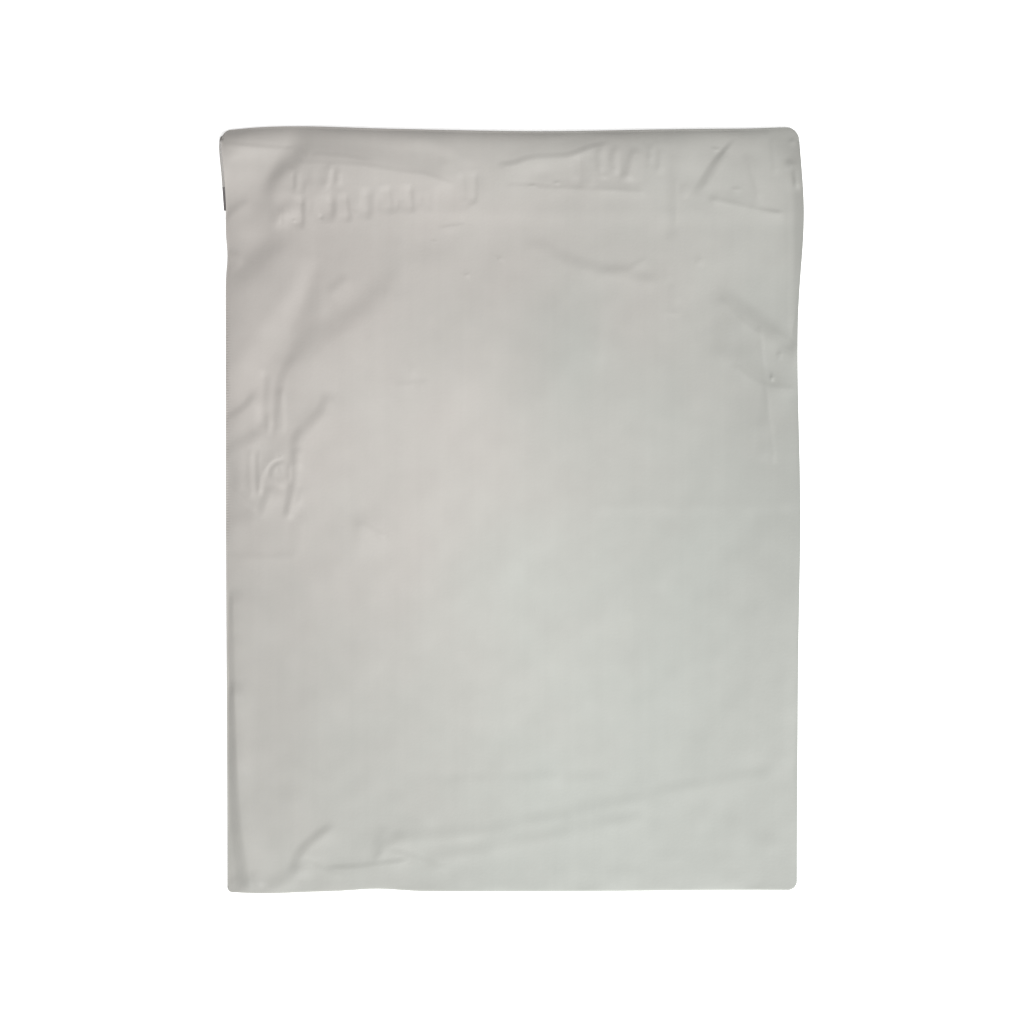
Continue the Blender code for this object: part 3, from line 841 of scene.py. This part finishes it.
def noise(tree, place, scale, detail, roughness=0.5):
    """Soft random patches between 0 and 1."""
    inputs = {"Vector": place, "Scale": scale, "Detail": detail, "Roughness": roughness}
    return add_node(tree, "ShaderNodeTexNoise", inputs).outputs["Fac"]


def calculate(tree, operation, *values):
    """One step of arithmetic with sockets and numbers."""
    return add_node(tree, "ShaderNodeMath", dict(enumerate(values)), operation=operation).outputs[0]


def spread(tree, value, source=(0.0, 1.0), target=(0.0, 1.0)):
    """Spreads one range of values over another."""
    ends = {"From Min": source[0], "From Max": source[1], "To Min": target[0], "To Max": target[1]}
    return add_node(tree, "ShaderNodeMapRange", {"Value": value, **ends}).outputs["Result"]


def shaded(tree, colour, shade):
    """A colour made lighter or darker."""
    inputs = {0: colour, 1: shade}
    return add_node(tree, "ShaderNodeVectorMath", inputs, operation="MULTIPLY").outputs["Vector"]


def stored(tree, name):
    """A quality that is stored with the mesh's points."""
    return add_node(tree, "ShaderNodeAttribute", attribute_name=name).outputs["Fac"]


def film_material():
    material, tree, shader = new_material("white_film", WHITE_ROUGHNESS)
    place = add_node(tree, "ShaderNodeTexCoord").outputs["Object"]

    # The tint drifts across the bag in soft patches
    travel = add_node(tree, "ShaderNodeVectorMath", {0: place, 1: DRIFT_DIRECTION}, operation="DOT_PRODUCT")
    patches = noise(tree, place, DRIFT_PATCH_SCALE, 5.0, 0.6)
    drift = calculate(tree, "MULTIPLY_ADD", patches, DRIFT_PATCH_SHARE, travel.outputs["Value"])
    coolness = calculate(tree, "ADD", spread(tree, drift, DRIFT_RANGE), stored(tree, "tint"))
    tints = {"Factor": coolness, 6: WARM_WHITE, 7: COOL_WHITE}
    tint = add_node(tree, "ShaderNodeMix", tints, data_type="RGBA").outputs[2]

    # The white is mottled and streaked
    mottle = noise(tree, place, MOTTLE_SCALE, 6.0, 0.65)
    along = add_node(tree, "ShaderNodeMapping", {"Vector": place, "Scale": STREAK_SCALE}).outputs["Vector"]
    streaks = noise(tree, along, 1.0, 2.0)
    unevenness = calculate(tree, "MULTIPLY_ADD", streaks, STREAK_SHARE, mottle)
    shade = spread(tree, unevenness, UNEVEN_RANGE, UNEVEN_SHADES)
    # The stored patches of uneven white darken and lighten it, partly as painted shade and painted light
    shade = calculate(tree, "MULTIPLY", shade, stored(tree, "tone_and_painted_shade"))
    tree.links.new(shaded(tree, tint, shade), shader.inputs["Base Color"])

    # The surface has a fine grain
    grain = noise(tree, place, GRAIN_SCALE, 3.0)
    bump = add_node(
        tree, "ShaderNodeBump", {"Height": grain, "Strength": GRAIN_STRENGTH, "Distance": GRAIN_HEIGHT}
    )

    # The welding bar leaves a row of fine crimps in the left weld
    row = add_node(
        tree, "ShaderNodeTexWave",
        {"Vector": place, "Scale": CRIMP_SCALE, "Distortion": CRIMP_DISTORTION, "Detail": 0.0},
        wave_type="BANDS", bands_direction="Y",
    )
    crimps = calculate(tree, "MULTIPLY", row.outputs["Fac"], stored(tree, "crimps"))
    bump = add_node(
        tree, "ShaderNodeBump",
        {
            "Height": crimps, "Strength": CRIMP_STRENGTH, "Distance": CRIMP_HEIGHT,
            "Normal": bump.outputs["Normal"],
        },
    )
    tree.links.new(bump.outputs["Normal"], shader.inputs["Normal"])
    return material


def lining_material():
    material, tree, shader = new_material("film_lining", LINING_ROUGHNESS)
    place = add_node(tree, "ShaderNodeTexCoord").outputs["Object"]
    shade = spread(tree, noise(tree, place, LINING_MOTTLE_SCALE, 2.0), target=LINING_SHADES)
    tree.links.new(shaded(tree, LINING_GREY, shade), shader.inputs["Base Color"])
    return material


bag_mesh = bpy.data.meshes.new("bag_film")
bag_bm.to_mesh(bag_mesh)
bag_bm.free()
bag_mesh.shade_smooth()
bag_mesh.set_sharp_from_angle(angle=np.radians(SHARP_ANGLE))
bag_mesh.materials.append(film_material())
bag_mesh.materials.append(lining_material())
bag = bpy.data.objects.new("bag_film", bag_mesh)
bpy.context.scene.collection.objects.link(bag)
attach(bag, "root")
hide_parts("mailer_bag")


# Table
# A plain white studio table. It is lit softly from below, so that it reads as pure white round the bag and
# the bag's shadow on it stays faint.
TABLE_SIZE = 30.0
TABLE_DROP = 0.0002
TABLE_WHITE = (0.95, 0.95, 0.95, 1.0)
TABLE_ROUGHNESS = 1.0
TABLE_GLOW = 0.5
PURE_WHITE = (1.0, 1.0, 1.0, 1.0)

table_bm = bmesh.new()
bmesh.ops.create_grid(table_bm, x_segments=1, y_segments=1, size=TABLE_SIZE / 2)
bmesh.ops.translate(table_bm, verts=table_bm.verts[:], vec=(0, 0, -TABLE_DROP))
table_mesh = bpy.data.meshes.new("table")
table_bm.to_mesh(table_mesh)
table_bm.free()
table_material, _, table_shader = new_material("table_white", TABLE_ROUGHNESS)
table_shader.inputs["Base Color"].default_value = TABLE_WHITE
table_shader.inputs["Specular IOR Level"].default_value = 0.0
table_shader.inputs["Emission Color"].default_value = PURE_WHITE
table_shader.inputs["Emission Strength"].default_value = TABLE_GLOW
table_mesh.materials.append(table_material)
table = bpy.data.objects.new("table", table_mesh)
bpy.context.scene.collection.objects.link(table)


# Light
# A large soft box beyond the bag's lower right corner rakes across it. It stands far enough off to light the
# whole table evenly, and a white room fills in the rest.
KEY_DIRECTION = (0.40, -0.62, 0.68)
KEY_DISTANCE = 5.0
KEY_SIZE = 2.4
KEY_POWER = 312.0
ROOM_LIGHT = 0.36

key = bpy.data.objects.new("soft_box", bpy.data.lights.new("soft_box", "AREA"))
key.data.shape = "SQUARE"
key.data.size = KEY_SIZE
key.data.energy = KEY_POWER
direction = np.array(KEY_DIRECTION) / np.linalg.norm(KEY_DIRECTION)
key.location = direction * KEY_DISTANCE
key.rotation_euler = key.location.to_track_quat("Z", "Y").to_euler()
bpy.context.scene.collection.objects.link(key)

room = bpy.data.worlds.new("room")
room.use_nodes = True
room.node_tree.nodes["Background"].inputs["Color"].default_value = PURE_WHITE
room.node_tree.nodes["Background"].inputs["Strength"].default_value = ROOM_LIGHT
bpy.context.scene.world = room
bpy.context.scene.view_settings.view_transform = "Standard"
